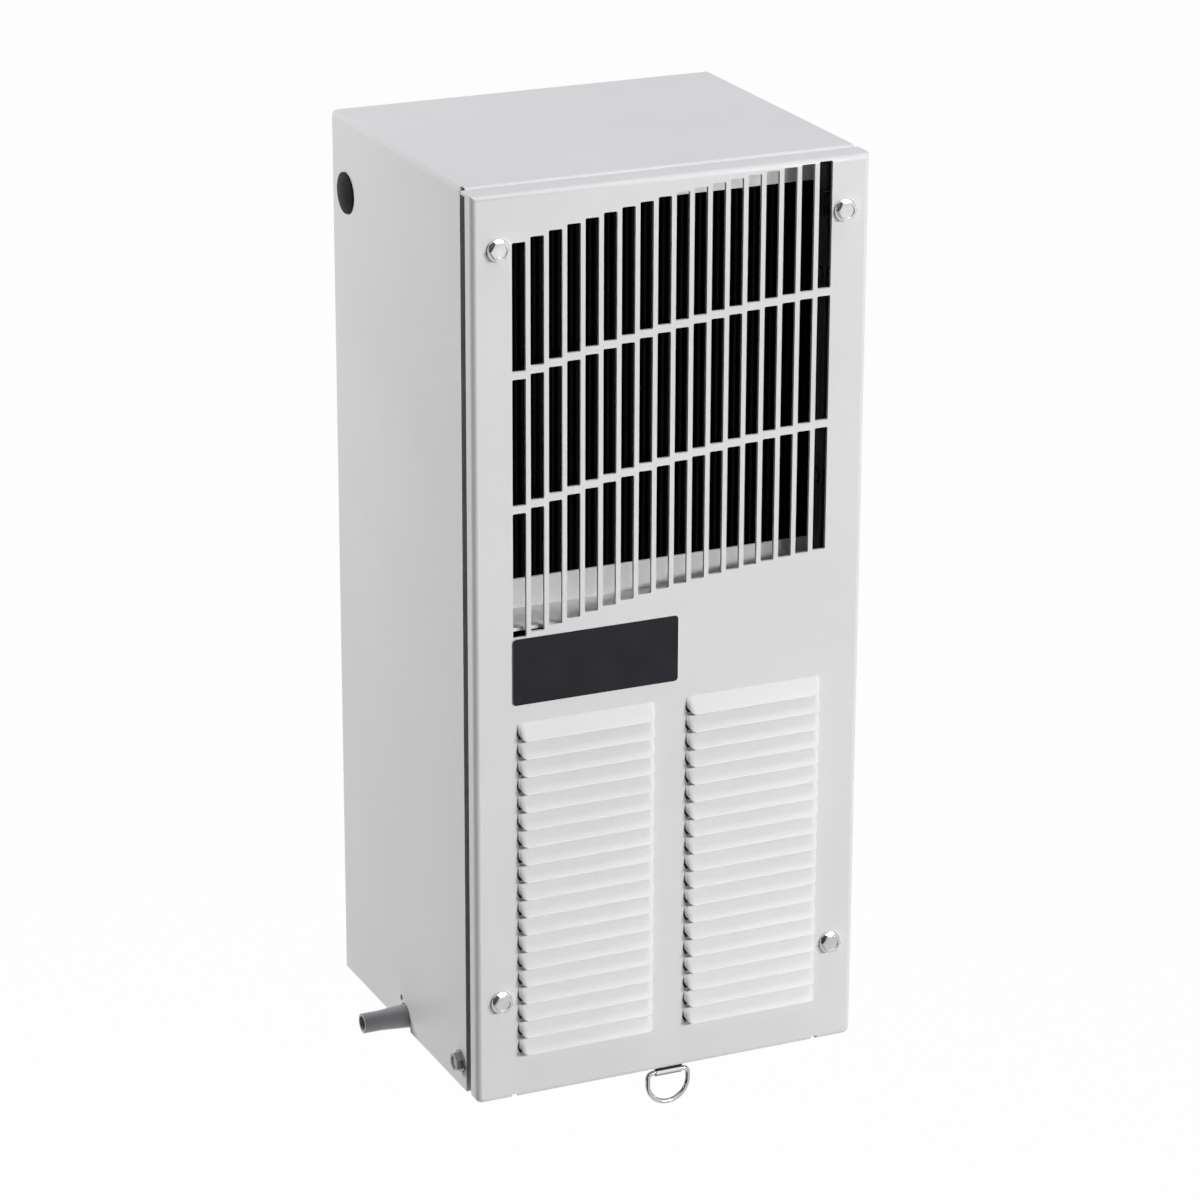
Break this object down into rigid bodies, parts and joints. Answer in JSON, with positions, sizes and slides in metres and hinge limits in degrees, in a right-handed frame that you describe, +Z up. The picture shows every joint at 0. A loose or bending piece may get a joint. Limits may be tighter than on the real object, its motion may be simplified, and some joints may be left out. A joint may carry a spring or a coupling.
{
  "type": "enclosure cooling unit",
  "caption": "Upright wall-hung enclosure cooling unit with an arc-stepped slotted outlet grille, louvered intake, drain spigot and a pull-out filter on a ring.",
  "frame": {"origin": "on the back mounting face, at mid width, level with the front cover's bottom edge", "axes": "+X to the right seen from the front, +Y back into the mounting wall, +Z up; the front faces -Y"},
  "size_m": [0.2187, 0.1748, 0.4543],
  "materials": {
    "powder_coat": "light grey powder coat, fine texture",
    "inner_white": "off-white paint",
    "plate_black": "bare satin black",
    "zinc": "bright zinc",
    "black_metal": "black",
    "foam": "black closed-cell foam",
    "plug_black": "textured black",
    "drain_grey": "mid grey",
    "coil_black": "black coated fins",
    "fin_aluminium": "mill finish fins",
    "galvanised": "galvanised",
    "filter_aluminium": "mill finish channel",
    "filter_weave": "layers of knitted aluminium wire",
    "nickel": "nickel plate"
  },
  "bodies": {
    "cabinet": {"back_plate": "powder_coat", "base_pan": "powder_coat", "base_screw_left": "zinc", "base_screw_right": "zinc", "bay_plate_left": "black_metal", "bay_plate_right": "black_metal", "bay_screws_left": "black_metal", "bay_screws_right": "black_metal", "cabinet_wrapper": "powder_coat", "clip_nut_lower_left": "black_metal", "clip_nut_lower_right": "black_metal", "clip_nut_upper_left": "black_metal", "clip_nut_upper_right": "black_metal", "coil_top_rail": "inner_white", "condenser_coil": "coil_black", "cover_screw_lower_left": "zinc", "cover_screw_lower_right": "zinc", "cover_screw_upper_left": "zinc", "cover_screw_upper_right": "zinc", "divider_shelf": "inner_white", "drain_spigot": "drain_grey", "evaporator_coil": "fin_aluminium", "evaporator_housing": "foam", "filter_guide_left": "black_metal", "filter_guide_right": "black_metal", "foam_strip_left": "foam", "foam_strip_right": "foam", "front_cover": "powder_coat", "hole_plug_left": "plug_black", "hole_plug_right": "plug_black", "mounting_nuts": "zinc", "nameplate": "plate_black"},
    "filter": {"filter_frame": "filter_aluminium", "filter_mesh": "filter_weave", "filter_pull_strap": "galvanised"},
    "pull_ring": {"pull_ring": "nickel"}
  },
  "joints": [
    {"name": "filter_slide", "type": "slide", "parent": "cabinet", "child": "filter", "axis": [0, 0, -1], "range_m": [0, 0.17]},
    {"name": "ring_swing", "type": "hinge", "parent": "filter", "child": "pull_ring", "pos_m": [0.0034, -0.1636, -0.0044], "axis": [1, 0, 0], "range_deg": [-70, 70]}
  ]
}
